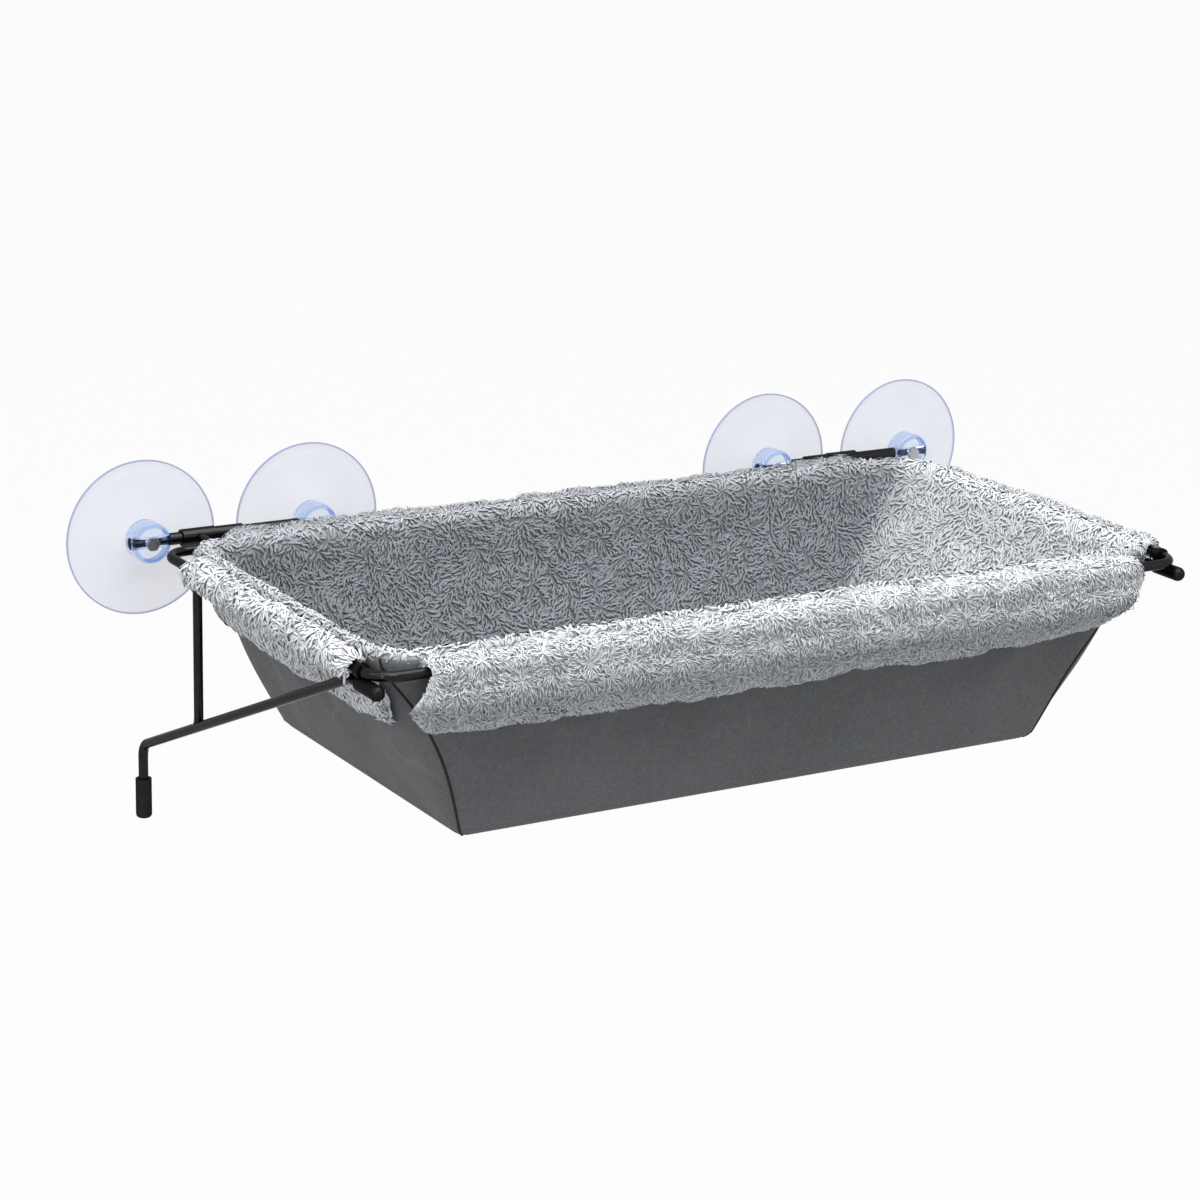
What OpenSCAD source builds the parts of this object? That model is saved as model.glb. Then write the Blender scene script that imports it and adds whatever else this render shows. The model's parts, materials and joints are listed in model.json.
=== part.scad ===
// Window mounted cat perch: a fleece lined bag in a wire rim. Two bars hold the rim to the
// mounting plane, each with two suction cups, and the whole bed folds up about the bars.
// X runs along the window, Y points out through the mounting plane and Z is up, so the room
// is on the -Y side. The origin is on the mounting plane, level with the bars, in mid bed.

/* [Rim] */
// Width of the wire rim over the outside, along X
rim_w = 584; // [540:1:640]
// Depth of the wire rim over the outside, along Y
rim_d = 305; // [260:1:360]
// Diameter of the wire of the rim, the tee stems and the arms
wire_d = 6.4; // [5.6:0.1:7]
// Radius of the rim's corners, to the middle of the wire
rim_bend_r = 16; // [14:1:24]
// Distance from the mounting plane to the middle of the rear wire
rim_out = 44; // [42:1:60]

/* [Suction cups] */
// Diameter of a cup that is pressed flat
cup_d = 102; // [84:1:112]
// Distance between the two cups of one bar
cup_pitch = 118; // [114:1:130]
// Thickness of the cup's lip at its edge
lip_t = 1.4; // [0.8:0.1:2]
// Width of the sealing lip
lip_w = 7; // [4:0.5:12]
// Depth of the hollow inside the sealing lip
hollow_t = 0.6; // [0.3:0.1:0.8]
// Thickness of the cup where it meets its boss
root_t = 5.2; // [4:0.1:6]
// Diameter of the boss
boss_d = 27; // [22:0.5:30]
// Height of the boss's front face above the mounting plane
boss_h = 19.5; // [18.5:0.1:23]
// Width of the groove round the boss
groove_w = 1.8; // [1:0.1:2.4]
// Depth of the groove round the boss
groove_depth = 1.6; // [0.6:0.1:2.4]
// Radius of the boss's front edge
boss_edge_r = 2.4; // [0.8:0.1:3]

/* [Bars and tees] */
// Diameter of a bar
bar_d = 8; // [6:0.1:9]
// Distance from the mounting plane to the middle of a bar
bar_out = 13; // [12.5:0.1:14]
// How far a bar runs past the middle of each cup
bar_end = 12.5; // [8:0.5:20]
// Distance from the rim's side wire in to each tee
tee_in = 36.8; // [33:0.2:40]
// Length of a tee's sleeve
tee_len = 23; // [16:1:26]
// Outer diameter of a tee's sleeve
tee_d = 11.2; // [10.6:0.1:13]
// Distance from the left tee out to its outer cup
left_slide = 34; // [28:1:66]
// Length of the stop collar beside each tee
collar_len = 19.4; // [6:0.2:22]
// Outer diameter of a stop collar
collar_d = 10.2; // [9.6:0.1:12]

/* [Cup screws] */
// Diameter of a cup screw's shank
screw_d = 4; // [3:0.1:5]
// Width of a cup screw's hexagon head across its flats
screw_af = 8; // [6:0.1:10]
// Height of a cup screw's head
screw_head_h = 3.4; // [2:0.1:5]
// Depth to which the head is sunk in the boss
screw_sunk = 1.4; // [0.5:0.1:2]
// Height of a cup screw's tip above the mounting plane
screw_tip = 7; // [6.6:0.1:8]

/* [Brackets] */
// Diameter of an upright
upright_d = 6; // [4.6:0.1:6]
// Distance from the rear wire forward to an upright
upright_in = 52; // [50:1:90]
// Drop from the bars to the point where an arm turns down into its foot
bracket_drop = 139; // [110:1:170]
// Length of a foot, from that point down to the end of its cap
foot_len = 50; // [40:1:70]
// Bend radius of an arm, to the middle of the wire
arm_bend_r = 12; // [8:1:16]
// Bend radius at the lower end of an upright
upright_bend_r = 9; // [6:1:14]

/* [Foot caps] */
// Outer diameter of a foot cap
cap_d = 10.6; // [9:0.1:12]
// Length of a foot cap
cap_len = 27; // [16:1:30]
// Thickness of a foot cap's closed end
cap_floor = 3.2; // [2:0.1:5]
// Radius of a foot cap's lower edge
cap_edge_r = 2.6; // [1:0.1:4]

/* [Corner clips] */
// Outer diameter of a clip's barrel
barrel_d = 9.2; // [8.4:0.1:10]
// Length of a clip's barrel, without its round nose
barrel_len = 21; // [16:1:24]
// Thickness of a clip's closed barrel end
barrel_floor = 3; // [2:0.1:5]
// Wall of the ring by which a clip holds the rim
ring_t = 1.4; // [1.2:0.1:2.6]
// Width of that ring along the rim
ring_w = 5; // [4:0.5:8]
// Width of the slit that lets the ring snap over the wire
slit_w = 1.6; // [0.8:0.1:3]

/* [Bag] */
// Height of the bag from its base up to the rim's middle
bag_h = 122; // [104:1:160]
// Distance that each end of the base stands in from the rim's side wire
base_side_in = 77; // [40:1:88]
// Distance that the base stands in from the rim's front wire
base_front_in = 43; // [20:1:70]
// Distance that the base stands in from the rim's rear wire
base_rear_in = 18; // [12:1:40]
// Thickness of the canvas shell
canvas_t = 2; // [1:0.1:3]
// Thickness of the fleece
fleece_t = 5; // [3:0.1:6]
// Height of the fleece liner's top edge above the rim's middle
liner_rise = 4; // [0:0.5:4]
// Thickness of the base board
board_t = 3; // [2:0.1:5]
// Thickness of the foam pad on the board
pad_t = 8; // [4:0.5:20]
// Corner radius of the board and the pad
board_r = 14; // [4:1:30]

/* [Cuffs] */
// Length of the front cuff's flap below the rim
front_drop = 45; // [24:1:60]
// Length of the side cuffs' flaps
side_drop = 42; // [24:1:60]
// Length of the rear cuff's flap
rear_drop = 42; // [24:1:60]
// How far the front flap swells at its middle
front_swell = 5; // [0:0.5:8]
// How far the side flaps swell
side_swell = 3; // [0:0.5:5]
// How far the rear flap swells
rear_swell = 2; // [0:0.5:5]
// Rise and fall of a flap's lower edge
hem_wave = 1.6; // [0:0.1:4]
// How much higher a flap's lower edge lies at its ends
hem_rise = 6; // [0:0.5:8]
// How far a flap's ends bulge past the ends of its crest
end_bulge = 7; // [0:0.5:8]
// Bare wire at each end of the front cuff, from the rim's corner
front_bare = 38; // [36:1:60]
// Bare wire at each end of the rear cuff
rear_bare = 46; // [45:1:60]
// Bare wire in front of the side cuffs
side_front_bare = 34; // [33:1:60]
// Bare wire behind the side cuffs
side_rear_bare = 44; // [24:1:46]

/* [Fits] */
// Running clearance of a tee round its bar
turn_gap = 0.08; // [0.03:0.01:0.1]
// Clearance round the screws and the rods in their sockets
push_gap = 0.05; // [0.02:0.01:0.1]
// Clearance between a tee and its collar, and under the clips
side_gap = 0.3; // [0.2:0.1:0.6]
// Clearance between cloth and wire
cloth_gap = 0.3; // [0.2:0.1:0.8]
// Clearance between the layers of the bag
lay_gap = 0.2; // [0.1:0.1:0.5]
// Gap that a weld fills
weld_gap = 0.1; // [0.05:0.01:0.2]
// How much thicker a rod is in its bends
bend_extra = 0.04; // [0.03:0.01:0.1]

/* [Hidden] */
$fn = 48;

// Overrun of every cut past the face that it opens
cut_over = 1;

// How far a rod's straights run into its bends
bend_lap = 0.3;

// The wire's radius and the rim's centre lines
wire_r = wire_d / 2;
side_x = (rim_w - wire_d) / 2;
rear_y = -rim_out;
front_y = rear_y - (rim_d - wire_d);

// Places of the tees, and of the cups: the right bar is centred in its tee
tee_x = side_x - tee_in;
left_outer_x = -(tee_x + left_slide);
left_inner_x = left_outer_x + cup_pitch;
right_outer_x = tee_x + cup_pitch / 2;
right_inner_x = tee_x - cup_pitch / 2;
cup_xs = [left_outer_x, left_inner_x, right_inner_x, right_outer_x];

// The cup's outline, from its lip in to its boss
cup_r = cup_d / 2;
boss_r = boss_d / 2;
dome_steps = 8;
dome_power = 2.2;
groove_low = root_t + groove_w;
edge_steps = 5;

// The bore for the bar and the socket for the screw's head
bar_bore_d = bar_d + 2 * push_gap;
screw_bore_d = screw_d + 2 * push_gap;
head_z = boss_h - screw_sunk;
socket_d = screw_af / cos(30) + 4 * push_gap;

// The bracket's own lines in the plane of the rim's side wire, as [y, z]
foot_y = -cap_d / 2;
barrel_z = -(wire_r + side_gap + barrel_d / 2);
clip_ring_y = front_y + rim_bend_r;
barrel_back_y = clip_ring_y + ring_w;
barrel_front_y = barrel_back_y - barrel_len;
tail_end_y = barrel_front_y + barrel_floor;
tail_bend_y = barrel_back_y + arm_bend_r;
arm_rise = (bracket_drop + barrel_z) / (foot_y - tail_bend_y);
upright_y = rear_y - upright_in;
upright_foot_z = -bracket_drop + arm_rise * (foot_y - upright_y);
foot_end_z = -bracket_drop - foot_len;

// The bag: where the canvas stands in from the wire, at the rim and per unit of height
crest_r = wire_r + cloth_gap + fleece_t;
wrap_r = wire_r + cloth_gap;
canvas_in = crest_r + lay_gap;
side_lean = (base_side_in - canvas_in) / bag_h;
front_lean = (base_front_in - canvas_in) / bag_h;
rear_lean = (base_rear_in - canvas_in) / bag_h;
liner_in = canvas_t + lay_gap;
lining_in = liner_in + fleece_t;
board_z = canvas_t - bag_h + lay_gap;
pad_z = board_z + board_t + lay_gap;
floor_z = pad_z + pad_t + lay_gap;
floor_top_z = floor_z + fleece_t;

// The cuff's section: its crest goes from the lip over the wire, and then come the flap's steps
lip_turn = -25;
crest_turn = 180 - lip_turn;
crest_steps = 8;
flap_shares = [0, 0.15, 0.3, 0.45, 0.6, 0.75, 0.88, 0.96, 1];
fall_power = 1.4;
cuff_steps = 14;
swell_turn = 150;
hem_round_share = 0.9;
hem_power = 8;
hem_waves = 2.5;
bulge_power = 5;
rise_power = 4;

// Colours of the finishes
clear_blue = [0.8, 0.84, 0.95, 0.55];
coated_black = [0.06, 0.06, 0.065];
screw_grey = [0.55, 0.56, 0.58];
rubber_black = [0.1, 0.1, 0.1];
canvas_grey = [0.29, 0.3, 0.31];
fleece_grey = [0.78, 0.79, 0.81];
lining_grey = [0.52, 0.54, 0.57];
board_brown = [0.55, 0.42, 0.28];
foam_white = [0.9, 0.9, 0.86];

// Direction of one step of a line, and the turn from one direction to the next
function direction(a, b) = (b - a) / norm(b - a);
function turn(a, b) = atan2(a.x * b.y - a.y * b.x, a * b);
function bearing(a) = atan2(a.y, a.x);

// Length that a bend takes from the straight on each side of corner i
function bend_trim(p, i, r) =
    r * tan(abs(turn(direction(p[i - 1], p[i]), direction(p[i], p[i + 1]))) / 2);

// A straight of round rod from point a to point b in the XY plane
module straight_rod(a, b, d) {
    translate([a.x, a.y, 0])
        rotate([0, 90, bearing(b - a)])
            cylinder(d = d, h = norm(b - a));
}

// The bend of a round rod at corner i of a line in the XY plane
module rod_bend(p, i, d, r) {
    a = direction(p[i - 1], p[i]);
    b = direction(p[i], p[i + 1]);
    way = sign(turn(a, b));
    start = p[i] - a * bend_trim(p, i, r);
    middle = start + way * r * [-a.y, a.x];
    first = bearing(a) - 90 * way;
    translate([middle.x, middle.y, 0])
        rotate([0, 0, way > 0 ? first : first + turn(a, b)])
            rotate_extrude(angle = abs(turn(a, b)))
                translate([r, 0])
                    circle(d = d + 2 * bend_extra);
}

// A round rod along a line of points in the XY plane, bent at each inner point
module bent_rod(p, d, r) {
    last = len(p) - 1;
    for (i = [0 : last - 1]) {
        a = direction(p[i], p[i + 1]);
        from = i == 0 ? 0 : bend_trim(p, i, r) - bend_lap;
        till = i == last - 1 ? 0 : bend_trim(p, i + 1, r) - bend_lap;
        straight_rod(p[i] + a * from, p[i + 1] - a * till, d);
    }
    for (i = [1 : last - 1])
        rod_bend(p, i, d, r);
}

// Turns a shape drawn in XY into the YZ plane at x
module in_side_plane(x) {
    translate([x, 0, 0])
        rotate([90, 0, 90])
            children();
}

// A cylinder along X from x0 to x1, in line with the bars
module along_bar(x0, x1, d) {
    translate([x0, -bar_out, 0])
        rotate([0, 90, 0])
            cylinder(d = d, h = x1 - x0);
}

// Height of the cup's outer skin at radius r
function dome_height(r) =
    lip_t + (root_t - lip_t) * pow((cup_r - r) / (cup_r - boss_r), dome_power);

// Points of the boss's rounded front edge
function boss_edge() = [
    for (i = [0 : edge_steps])
        let (a = 90 * i / edge_steps)
            [boss_r - boss_edge_r * (1 - cos(a)), boss_h - boss_edge_r * (1 - sin(a))]
];

// Half outline of a cup, as radius and height above the mounting plane
function cup_outline() = concat(
    [[0, hollow_t], [cup_r - lip_w, hollow_t], [cup_r - lip_w + hollow_t, 0], [cup_r, 0]],
    [for (i = [0 : dome_steps])
        let (r = cup_r + (boss_r - cup_r) * i / dome_steps)
            [r, dome_height(r)]],
    [[boss_r - groove_depth, root_t], [boss_r - groove_depth, groove_low], [boss_r, groove_low]],
    boss_edge(),
    [[0, boss_h]]
);

// One clear cup with the bore for its bar and the hole for its screw
module suction_cup(x) {
    color(clear_blue)
        difference() {
            translate([x, 0, 0])
                rotate([90, 0, 0])
                    rotate_extrude()
                        polygon(cup_outline());
            along_bar(x - boss_r - cut_over, x + boss_r + cut_over, bar_bore_d);
            translate([x, 0, 0])
                rotate([90, 0, 0]) {
                    translate([0, 0, screw_tip - push_gap])
                        cylinder(d = screw_bore_d, h = boss_h);
                    translate([0, 0, head_z - push_gap])
                        cylinder(d = socket_d, h = boss_h);
                }
        }
}

// One screw, which pins the bar in the cup's boss
module cup_screw(x) {
    translate([x, 0, 0])
        rotate([90, 0, 0]) {
            translate([0, 0, screw_tip])
                cylinder(d = screw_d, h = head_z - screw_tip);
            translate([0, 0, head_z])
                cylinder(d = screw_af / cos(30), h = screw_head_h, $fn = 6);
        }
}

module cup_screws() {
    color(screw_grey)
        for (x = cup_xs)
            cup_screw(x);
}

// A bar between two cups, cross drilled for their screws
module bar(x0, x1) {
    color(coated_black)
        difference() {
            along_bar(x0 - bar_end, x1 + bar_end, bar_d);
            for (x = [x0, x1])
                translate([x, -bar_out + bar_d / 2 + cut_over, 0])
                    rotate([90, 0, 0])
                        cylinder(d = screw_bore_d, h = bar_d + 2 * cut_over);
        }
}

// A stop collar on the mid bed side of a tee
module bar_collar(way) {
    near = tee_x - tee_len / 2 - side_gap;
    color(coated_black)
        mirror([way < 0 ? 1 : 0, 0, 0])
            difference() {
                along_bar(near - collar_len, near, collar_d);
                along_bar(near - collar_len - cut_over, near + cut_over, bar_d + 2 * push_gap);
            }
}

// A tee: the sleeve that turns on the bar, and the stem that carries the rear wire
module tee(way) {
    color(coated_black)
        translate([way * tee_x, 0, 0])
            difference() {
                union() {
                    along_bar(-tee_len / 2, tee_len / 2, tee_d);
                    translate([0, -bar_out, 0])
                        rotate([90, 0, 0])
                            cylinder(d = wire_d, h = rim_out - bar_out);
                }
                along_bar(-tee_len / 2 - cut_over, tee_len / 2 + cut_over, bar_d + 2 * turn_gap);
                translate([-wire_d, rear_y, 0])
                    rotate([0, 90, 0])
                        cylinder(d = wire_d + 2 * weld_gap, h = 2 * wire_d);
            }
}

// The rim: one closed loop of wire with four bent corners
module rim_wire() {
    mid = [0, front_y];
    left = [-side_x, front_y];
    right = [side_x, front_y];
    back_right = [side_x, rear_y];
    back_left = [-side_x, rear_y];
    color(coated_black)
        bent_rod([mid, right, back_right, back_left, left, mid], wire_d, rim_bend_r);
}

// A bracket: the arm from the clip back and down to its foot, with the upright welded in
module bracket(way) {
    arm = [
        [tail_end_y, barrel_z], [tail_bend_y, barrel_z],
        [foot_y, -bracket_drop], [foot_y, foot_end_z + cap_floor + push_gap]
    ];
    heel = [upright_y, upright_foot_z];
    slope = direction([tail_bend_y, barrel_z], [foot_y, -bracket_drop]);
    upright = [[upright_y, 0], heel, heel + slope * upright_bend_r];
    heel_trim = bend_trim(upright, 1, upright_bend_r);
    color(coated_black)
        difference() {
            in_side_plane(way * side_x) {
                bent_rod(arm, wire_d, arm_bend_r);
                bent_rod([upright[0], heel, heel + slope * (heel_trim + weld_gap)],
                    upright_d, upright_bend_r);
            }
            translate([way * side_x, rear_y, 0])
                rotate([90, 0, 0])
                    cylinder(d = wire_d + 2 * weld_gap, h = rim_d);
        }
}

// Half outline of a foot cap, closed and rounded at its lower end
function cap_outline() = concat(
    [[0, 0]],
    [for (i = [0 : edge_steps])
        let (a = 90 * i / edge_steps)
            [cap_d / 2 - cap_edge_r * (1 - sin(a)), cap_edge_r * (1 - cos(a))]],
    [[cap_d / 2, cap_len], [0, cap_len]]
);

// A rubber cap on the end of a foot, which rests against the mounting plane
module foot_cap(way) {
    color(rubber_black)
        translate([way * side_x, foot_y, foot_end_z])
            difference() {
                rotate_extrude()
                    polygon(cap_outline());
                translate([0, 0, cap_floor])
                    cylinder(d = wire_d + 2 * push_gap, h = cap_len);
            }
}

// A corner clip: a split ring on the rim's side wire over a barrel that holds the arm's end
module corner_clip(way) {
    ring_d = wire_d + 2 * (side_gap + ring_t);
    color(coated_black)
        translate([way * side_x, 0, 0])
            difference() {
                union() {
                    translate([0, barrel_back_y, 0])
                        rotate([90, 0, 0])
                            cylinder(d = ring_d, h = ring_w);
                    translate([0, barrel_back_y, barrel_z])
                        rotate([90, 0, 0])
                            cylinder(d = barrel_d, h = barrel_len);
                    translate([0, barrel_front_y, barrel_z])
                        sphere(d = barrel_d);
                }
                translate([0, barrel_back_y + cut_over, 0])
                    rotate([90, 0, 0])
                        cylinder(d = wire_d + 2 * side_gap, h = ring_w + 2 * cut_over);
                translate([0, barrel_back_y + cut_over, barrel_z])
                    rotate([90, 0, 0])
                        cylinder(d = wire_d + 2 * push_gap, h = barrel_len - barrel_floor + cut_over);
                translate([-slit_w / 2, barrel_back_y - ring_w - cut_over, 0])
                    cube([slit_w, ring_w + 2 * cut_over, ring_d]);
            }
}

// The bag's half width and its front and rear faces at height z, a depth t inside its canvas
function half_width(z, t) = side_x - canvas_in + side_lean * z - t;
function front_face(z, t) = front_y + canvas_in - front_lean * z + t;
function rear_face(z, t) = rear_y - canvas_in + rear_lean * z - t;

// Corner k of the bag, counted from the front left one against the clock
function bag_corner(k, z, t) = [
    (k == 1 || k == 2 ? 1 : -1) * half_width(z, t),
    k < 2 ? front_face(z, t) : rear_face(z, t),
    z
];

// One wall of the bag, mitred at both ends, between two heights and two depths
module bag_wall(k, z0, z1, t0, t1) {
    next = (k + 1) % 4;
    polyhedron(
        points = [
            for (z = [z0, z1])
                each [
                    bag_corner(k, z, t0), bag_corner(next, z, t0),
                    bag_corner(next, z, t1), bag_corner(k, z, t1)
                ]
        ],
        faces = [
            [0, 1, 2, 3], [4, 5, 1, 0], [7, 6, 5, 4],
            [5, 6, 2, 1], [6, 7, 3, 2], [7, 4, 0, 3]
        ]
    );
}

// A level slab that fills the bag from wall to wall, between two heights
module bag_slab(z0, z1, t) {
    polyhedron(
        points = [for (z = [z0, z1]) each [for (k = [0 : 3]) bag_corner(k, z, t)]],
        faces = [
            [0, 1, 2, 3], [4, 5, 1, 0], [7, 6, 5, 4],
            [5, 6, 2, 1], [6, 7, 3, 2], [7, 4, 0, 3]
        ]
    );
}

module shell_wall(k) {
    color(canvas_grey)
        bag_wall(k, canvas_t - bag_h, 0, 0, canvas_t);
}

module shell_base() {
    color(canvas_grey)
        bag_slab(-bag_h, canvas_t - bag_h, 0);
}

module liner_wall(k, tint) {
    color(tint)
        bag_wall(k, board_z, liner_rise, liner_in, lining_in);
}

module liner_floor() {
    color(lining_grey)
        bag_slab(floor_z, floor_top_z, lining_in + lay_gap);
}

// A flat plate inside the liner's foot, with round corners
module base_plate(z, h) {
    w = half_width(z, lining_in + lay_gap) - board_r;
    y0 = front_face(z, lining_in + lay_gap) + board_r;
    y1 = rear_face(z, lining_in + lay_gap) - board_r;
    translate([0, 0, z])
        linear_extrude(height = h) {
            translate([-w, y0 - board_r])
                square([2 * w, y1 - y0 + 2 * board_r]);
            translate([-w - board_r, y0])
                square([2 * (w + board_r), y1 - y0]);
            for (x = [-w, w], y = [y0, y1])
                translate([x, y])
                    circle(r = board_r);
        }
}

module base_board() {
    color(board_brown)
        base_plate(board_z, board_t);
}

module base_pad() {
    color(foam_white)
        base_plate(pad_z, pad_t);
}

// Thickness of a flap at share w of its drop
function flap_t(w, swell) =
    (fleece_t + swell * sin(swell_turn * w)) * sqrt(1 - hem_round_share * pow(w, hem_power));

// How far in a flap's back lies: on the canvas, or hung over the wire and falling in to the canvas
function flap_z(w, drop) = -crest_r - (drop - crest_r) * w;
function flap_back(w, drop, lean, tucked) =
    tucked
        ? crest_r - lean * flap_z(w, drop)
        : (crest_r + lean * drop + wrap_r) * pow(w, fall_power) - wrap_r;

// Points of a cuff's back and face, or of its crest, as [in from the wire, up]
function crest(r, tucked) = [
    for (i = [0 : crest_steps])
        let (a = crest_turn * i / crest_steps)
            r * (tucked
                ? [cos(crest_turn - a), sin(crest_turn - a)]
                : [cos(lip_turn + a), sin(lip_turn + a)])
];
function flap(drop, lean, swell, tucked, on_back) = [
    for (w = flap_shares)
        [
            flap_back(w, drop, lean, tucked) - (on_back ? 0 : flap_t(w, swell)),
            flap_z(w, drop)
        ]
];
function reversed(p) = [for (i = [len(p) - 1 : -1 : 0]) p[i]];

// A cuff's closed section: the side away from the wire and the side against it
function section(drop, lean, swell, tucked) =
    let (
        outer = concat(crest(crest_r, tucked), flap(drop, lean, swell, tucked, tucked)),
        inner = concat(crest(wrap_r, tucked), flap(drop, lean, swell, tucked, !tucked))
    )
        tucked ? concat(outer, reversed(inner)) : concat(inner, reversed(outer));

// How far a point at height v moves along the cuff, for the round ends of the flap
function end_shift(v, hem, along) =
    v < 0 ? end_bulge * sin(180 * -v / hem) * pow(along, bulge_power) : 0;

// A cuff of fleece over a straight of wire along X, from s0 to s1, with the bag on its +Y side
module cuff(s0, s1, drop, lean, swell, tucked) {
    n = 2 * (crest_steps + 1 + len(flap_shares));
    points = [
        for (j = [0 : cuff_steps])
            let (
                s = s0 + (s1 - s0) * j / cuff_steps,
                along = 2 * j / cuff_steps - 1,
                wave = hem_wave * (1 + sin(360 * hem_waves * j / cuff_steps)) / 2,
                hem = drop - wave - hem_rise * pow(along, rise_power)
            )
                for (q = section(hem, lean, swell, tucked))
                    [s + end_shift(q.y, hem, along), q.x, q.y]
    ];
    skin = [
        for (j = [0 : cuff_steps - 1], i = [0 : n - 1])
            let (
                a = j * n + i,
                b = j * n + (i + 1) % n
            )
                each [[a, b, b + n], [a, b + n, a + n]]
    ];
    ends = [
        for (i = [0 : n / 2 - 2])
            let (
                o = n - 1 - i,
                far = cuff_steps * n
            )
                each [
                    [i, o, i + 1], [i + 1, o, o - 1],
                    [far + i, far + i + 1, far + o], [far + i + 1, far + o - 1, far + o]
                ]
    ];
    color(fleece_grey)
        polyhedron(points = points, faces = concat(skin, ends));
}

module front_cuff() {
    half = side_x - front_bare;
    translate([0, front_y, 0])
        cuff(-half, half, front_drop, front_lean, front_swell, false);
}

module rear_cuff() {
    half = side_x - rear_bare;
    translate([0, rear_y, 0])
        rotate([0, 0, 180])
            cuff(-half, half, rear_drop, rear_lean, rear_swell, false);
}

module right_cuff() {
    from = front_y + side_front_bare;
    till = rear_y - side_rear_bare;
    translate([side_x, 0, 0])
        rotate([0, 0, 90])
            cuff(from, till, side_drop, side_lean, side_swell, true);
}

module left_cuff() {
    from = side_rear_bare - rear_y;
    till = -front_y - side_front_bare;
    translate([-side_x, 0, 0])
        rotate([0, 0, -90])
            cuff(from, till, side_drop, side_lean, side_swell, true);
}

suction_cup(left_outer_x);  // left_outer_cup
suction_cup(left_inner_x);  // left_inner_cup
suction_cup(right_inner_x);  // right_inner_cup
suction_cup(right_outer_x);  // right_outer_cup
cup_screws();
bar(left_outer_x, left_inner_x);  // left_bar
bar(right_inner_x, right_outer_x);  // right_bar
bar_collar(-1);  // left_bar_collar
bar_collar(1);  // right_bar_collar
tee(-1);  // left_tee
tee(1);  // right_tee
rim_wire();
bracket(-1);  // left_bracket
bracket(1);  // right_bracket
foot_cap(-1);  // left_foot_cap
foot_cap(1);  // right_foot_cap
corner_clip(-1);  // left_corner_clip
corner_clip(1);  // right_corner_clip
shell_wall(0);  // shell_front
shell_wall(1);  // shell_right
shell_wall(2);  // shell_rear
shell_wall(3);  // shell_left
shell_base();
liner_wall(0, fleece_grey);  // liner_front
liner_wall(1, fleece_grey);  // liner_right
liner_wall(2, lining_grey);  // liner_rear
liner_wall(3, lining_grey);  // liner_left
liner_floor();
front_cuff();
right_cuff();
rear_cuff();
left_cuff();
base_board();
base_pad();
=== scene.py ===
"""Looks of a window perch for a cat: a fleece lined canvas bag in a wire rim, on suction cups."""

import json
import math

import bmesh
import bpy
import numpy as np
from mathutils import Matrix, Vector

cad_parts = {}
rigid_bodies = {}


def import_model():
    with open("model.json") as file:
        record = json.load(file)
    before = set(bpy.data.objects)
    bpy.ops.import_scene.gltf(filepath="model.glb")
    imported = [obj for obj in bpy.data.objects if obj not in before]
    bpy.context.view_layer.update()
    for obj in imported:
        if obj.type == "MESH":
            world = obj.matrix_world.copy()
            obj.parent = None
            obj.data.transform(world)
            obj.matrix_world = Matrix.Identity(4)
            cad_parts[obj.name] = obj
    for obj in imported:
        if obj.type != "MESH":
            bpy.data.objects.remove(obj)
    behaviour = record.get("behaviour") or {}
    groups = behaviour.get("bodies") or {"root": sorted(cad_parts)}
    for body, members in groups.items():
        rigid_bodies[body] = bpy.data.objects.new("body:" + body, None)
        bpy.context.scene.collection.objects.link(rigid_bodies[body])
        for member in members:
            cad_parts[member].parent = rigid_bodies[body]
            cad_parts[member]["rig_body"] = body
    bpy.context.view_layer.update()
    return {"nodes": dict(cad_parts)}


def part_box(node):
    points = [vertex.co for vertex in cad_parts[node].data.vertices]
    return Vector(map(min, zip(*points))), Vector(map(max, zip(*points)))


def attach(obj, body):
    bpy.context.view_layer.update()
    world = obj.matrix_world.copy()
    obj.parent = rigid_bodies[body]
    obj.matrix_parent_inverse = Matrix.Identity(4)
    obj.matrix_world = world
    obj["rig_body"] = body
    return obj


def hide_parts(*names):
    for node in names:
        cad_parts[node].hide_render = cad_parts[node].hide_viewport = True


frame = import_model()
NODES = frame["nodes"]
MM = 0.001

# Sizes of the perch in millimetres, read from the solids where they can be
RIM_LOW, RIM_HIGH = (np.array(corner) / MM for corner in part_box("rim_wire"))
WIRE = float(RIM_HIGH[2] - RIM_LOW[2]) - 0.08
SIDE_X = float(RIM_HIGH[0]) - WIRE / 2
FRONT_Y = float(RIM_LOW[1]) + WIRE / 2
REAR_Y = float(RIM_HIGH[1]) - WIRE / 2
MID_Y = (FRONT_Y + REAR_Y) / 2
BASE_LOW = np.array(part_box("shell_base")[0]) / MM
BAG_H = -float(BASE_LOW[2])
# Distances from the wire's middle: a cuff's inside, its crest and the canvas's outer face
WRAP_R = WIRE / 2 + 0.3
CREST_R = WRAP_R + 5
CANVAS_IN = CREST_R + 0.2
# How far in from the wire the base's edges lie, and so how much each wall leans
SIDE_IN, FRONT_IN, REAR_IN = 77, 43, 18
SIDE_LEAN = (SIDE_IN - CANVAS_IN) / BAG_H
FRONT_LEAN = (FRONT_IN - CANVAS_IN) / BAG_H
REAR_LEAN = (REAR_IN - CANVAS_IN) / BAG_H
# Height of the lining's floor
FLOOR_Z = -105.0
# Points of an outline along a long side, round a corner and along a short side
COUNTS = (84, 10, 46)


# Materials


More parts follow.
